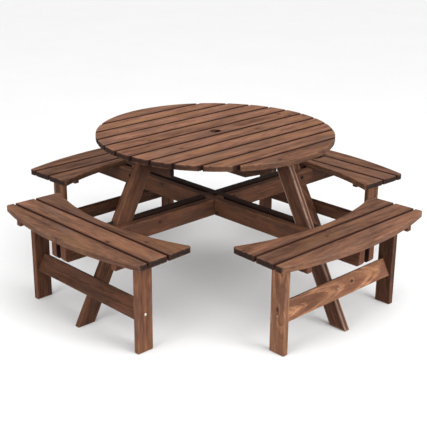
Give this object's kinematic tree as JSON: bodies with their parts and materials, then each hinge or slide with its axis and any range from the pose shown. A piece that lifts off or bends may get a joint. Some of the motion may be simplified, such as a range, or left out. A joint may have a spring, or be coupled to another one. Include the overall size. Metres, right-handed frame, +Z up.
{
  "type": "picnic table",
  "caption": "Round slatted timber picnic table with a parasol hole, slanted legs, crossed double beams and attached curved benches.",
  "frame": {"origin": "on the ground, under the centre of the tabletop", "axes": "+Z up; the tabletop's slats run along X, and the benches stand on +X, +Y, -X and -Y"},
  "size_m": [1.838, 1.838, 0.728],
  "materials": {
    "tabletop_wood": "stained, open grain, satin",
    "seat_wood": "stained, open grain, satin",
    "frame_wood": "stained, open grain, satin",
    "fasteners": "zinc plated"
  },
  "bodies": {
    "root": {"beam_along_x_a": "frame_wood", "beam_along_x_b": "frame_wood", "beam_along_y_a": "frame_wood", "beam_along_y_b": "frame_wood", "bearer_left": "frame_wood", "bearer_right": "frame_wood", "bench_leg_back_left_a": "frame_wood", "bench_leg_back_left_b": "frame_wood", "bench_leg_back_right_a": "frame_wood", "bench_leg_back_right_b": "frame_wood", "bench_leg_front_left_a": "frame_wood", "bench_leg_front_left_b": "frame_wood", "bench_leg_front_right_a": "frame_wood", "bench_leg_front_right_b": "frame_wood", "bench_rail_back_left": "frame_wood", "bench_rail_back_right": "frame_wood", "bench_rail_front_left": "frame_wood", "bench_rail_front_right": "frame_wood", "bench_screws": "fasteners", "diagonal_leg_back_left": "frame_wood", "diagonal_leg_back_right": "frame_wood", "diagonal_leg_front_left": "frame_wood", "diagonal_leg_front_right": "frame_wood", "frame_bolts": "fasteners", "head_blocks_back_left": "frame_wood", "head_blocks_back_right": "frame_wood", "head_blocks_front_left": "frame_wood", "head_blocks_front_right": "frame_wood", "seat_batten_back_left_a": "frame_wood", "seat_batten_back_left_b": "frame_wood", "seat_batten_back_right_a": "frame_wood", "seat_batten_back_right_b": "frame_wood", "seat_batten_front_left_a": "frame_wood", "seat_batten_front_left_b": "frame_wood", "seat_batten_front_right_a": "frame_wood", "seat_batten_front_right_b": "frame_wood", "seat_inner_back_left": "seat_wood", "seat_inner_back_right": "seat_wood", "seat_inner_front_left": "seat_wood", "seat_inner_front_right": "seat_wood", "seat_middle_back_left": "seat_wood", "seat_middle_back_right": "seat_wood", "seat_middle_front_left": "seat_wood", "seat_middle_front_right": "seat_wood", "seat_outer_back_left": "seat_wood", "seat_outer_back_right": "seat_wood", "seat_outer_front_left": "seat_wood", "seat_outer_front_right": "seat_wood", "slat_screws": "fasteners", "top_slat_01": "tabletop_wood", "top_slat_02": "tabletop_wood", "top_slat_03": "tabletop_wood", "top_slat_04": "tabletop_wood", "top_slat_05": "tabletop_wood", "top_slat_06": "tabletop_wood", "top_slat_07": "tabletop_wood", "top_slat_08": "tabletop_wood", "top_slat_09": "tabletop_wood", "top_slat_10": "tabletop_wood", "top_slat_11": "tabletop_wood"}
  },
  "joints": []
}
